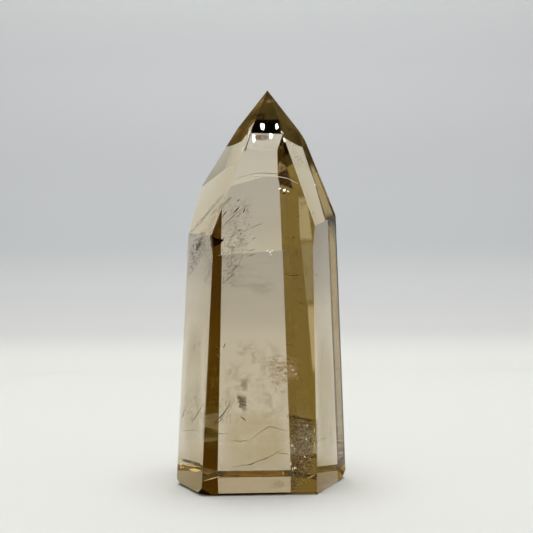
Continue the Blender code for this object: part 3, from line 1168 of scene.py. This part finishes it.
def cloudMesh(name, facts):
    # two copies of the sheet, joined all round, with a value that fades towards the sides
    front = sheetPoints(facts["corners"])
    back = [place + Vector((0, facts["thickness"] * mm, 0)) for place in front]
    count, row = len(front), sheetSteps + 1
    faces = sheetFaces() + sheetFaces(count, True)
    rim = list(range(sheetSteps))
    rim += [row * j + sheetSteps for j in range(sheetSteps)]
    rim += [row * sheetSteps + i for i in range(sheetSteps, 0, -1)]
    rim += [row * j for j in range(sheetSteps, 0, -1)]
    for i, first in enumerate(rim):
        second = rim[(i + 1) % len(rim)]
        faces.append((second, first, first + count, second + count))
    mesh = bpy.data.meshes.new(name)
    mesh.from_pydata(front + back, [], faces)
    fade = mesh.attributes.new("fade", "FLOAT", "POINT")
    for k in range(2 * count):
        u = (k % count) % row / sheetSteps
        v = (k % count) // row / sheetSteps
        fade.data[k].value = min(1.0, (math.sin(math.pi * u) * math.sin(math.pi * v)) / facts["edge"])
    return mesh


def addClouds(mottle):
    mask = cloudGroup()
    for name, own in clouds.items():
        facts = {**cloudDefaults, **own}
        plainPiece(name, cloudMesh(name, facts), cloudMaterial(name, facts, mask, mottle))
    print(len(clouds), "clouds")


# single sparkles, white and gold ones painted glints that glow and dark ones dark specks: place, length,
# width, and lean from upright in radians
deepestSparkle = 0.3
sparkles = {
    "whiteGlints": {"finish": "whiteGlint", "places": (
        (5.1, -11.2, 74.2, 0.70, 0.36, 1.2), (6.2, -11.3, 73.8, 0.85, 0.75, 0.5),
        (7.1, -11.4, 73.5, 0.60, 0.35, 2.0), (2.5, -15.8, 58.7, 0.60, 0.26, 0.3),
        (1.9, -15.8, 59.0, 0.50, 0.16, 1.9), (3.1, -15.7, 59.0, 0.60, 0.16, 1.2),
        (2.7, -15.8, 58.1, 0.45, 0.14, 0.2), (13.8, -3.3, 75.4, 0.65, 0.28, -0.6),
        (11.1, -16.2, 16.7, 0.30, 0.17, 0.4), (10.9, -16.3, 13.4, 0.38, 0.15, 1.1),
        (10.5, -16.4, 9.1, 0.75, 0.14, 2.5), (7.6, -16.4, 11.8, 0.34, 0.18, 0.2),
        (8.0, -16.5, 6.4, 0.68, 0.17, 0.1), (6.3, -7.7, 86.4, 1.35, 0.38, -0.25),
        (-2.2, -6.4, 88.3, 1.30, 0.16, 0.42), (-3.7, -7.7, 84.2, 1.50, 0.16, 0.42),
        (5.7, -6.7, 88.3, 1.00, 0.15, -0.3), (7.8, -16.1, 30.2, 0.64, 0.10, 2.4),
        (8.5, -16.1, 29.2, 0.60, 0.11, 2.0), (7.3, -16.1, 31.2, 0.52, 0.08, 2.3),
        (-20.3, -5.3, 5.2, 0.56, 0.32, 0.3),
    )},
    "goldGlints": {"finish": "goldGlint", "places": (
        (-20.3, -5.1, 6.0, 0.80, 0.35, 0.5), (-19.9, -6.2, 5.4, 1.10, 0.50, 0.9),
        (-20.1, -5.8, 4.5, 0.90, 0.40, -0.3), (-19.5, -7.0, 4.8, 0.60, 0.30, 1.1),
        (7.1, -16.5, 7.4, 0.90, 0.30, 0.2), (7.5, -16.5, 6.2, 1.00, 0.35, 0.1),
        (8.3, -16.5, 6.4, 0.70, 0.25, -0.4), (7.3, -16.5, 12.0, 0.80, 0.22, 0.2),
        (8.0, -16.5, 11.0, 0.50, 0.20, 0.7), (12.9, -16.1, 12.2, 0.90, 0.14, 0.0),
        (12.9, -16.1, 15.4, 1.10, 0.12, 0.0), (9.6, -16.5, 8.0, 0.45, 0.20, 0.9),
        (5.2, -16.4, 5.2, 0.80, 0.22, -0.3), (11.8, -16.4, 8.6, 0.40, 0.16, 0.3),
    )},
    "darkSparkles": {"finish": "darkFlaw", "places": (
        (6.1, -11.2, 73.0, 0.40, 1.00, 0.0), (5.3, -11.2, 73.6, 0.30, 0.50, 0.0),
        (7.1, -11.3, 72.8, 0.25, 0.45, 0.0), (13.9, -3.0, 74.6, 0.35, 0.25, 0.0),
        (-3.2, -7.4, 84.0, 1.20, 0.14, 0.42), (2.7, -15.7, 57.8, 0.2, 0.3, 0.0),
    )},
}


def addSparkles(finishes):
    for name, facts in sparkles.items():
        shape = bmesh.new()
        for x, y, z, length, width, lean in facts["places"]:
            place = Matrix.Translation(Vector((x, y, z)) * mm) @ Matrix.Rotation(lean, 4, "Y")
            size = Matrix.Diagonal((width * mm, min(width, deepestSparkle) * mm, length * mm, 1))
            bmesh.ops.create_icosphere(shape, subdivisions=1, radius=0.5, matrix=place @ size)
        plainPiece(name, meshFrom(name, shape), finishes[facts["finish"]])
    print(len(sparkles), "sparkle pieces")


# the dark wedge at the left ridge: its outline and thickness
wedge = {
    "outline": (
        (-11.4, -14.3, 62.8), (-10.5, -14.7, 62.1), (-8.6, -14.7, 61.7), (-9.8, -15.1, 60.6),
        (-11.1, -15.2, 60.1),
    ),
    "thick": 0.5,
}


def addWedge(finish):
    shape = bmesh.new()
    front = [shape.verts.new(Vector(place) * mm) for place in wedge["outline"]]
    back = [shape.verts.new(corner.co + Vector((0, wedge["thick"] * mm, 0))) for corner in front]
    shape.faces.new(front[::-1])
    shape.faces.new(back)
    for i in range(len(front)):
        j = (i + 1) % len(front)
        shape.faces.new((front[i], front[j], back[j], back[i]))
    bmesh.ops.recalc_face_normals(shape, faces=shape.faces)
    plainPiece("ridgeWedge", meshFrom("ridgeWedge", shape), finish)
    print("wedge laid")


def fillStone():
    mottle = mottleGroup()
    finishes = flawAndLightMaterials(mottle)
    strewFlecks(finishes)
    drawThreads(finishes)
    addClouds(mottle)
    addSparkles(finishes)
    addWedge(finishes["wedgeFlaw"])


addCamera()
roomShades = roomGroup()
addPaper(roomShades)
addRoom(roomShades)
addLights()
makeStone()
fillStone()

bpy.context.scene.view_settings.view_transform = "Standard"
bpy.context.scene.cycles.glossy_bounces = 16  # light bounces on inside the stone
bpy.context.scene.cycles.transmission_bounces = 24
bpy.context.scene.cycles.max_bounces = 24
bpy.context.scene.cycles.transparent_max_bounces = 48
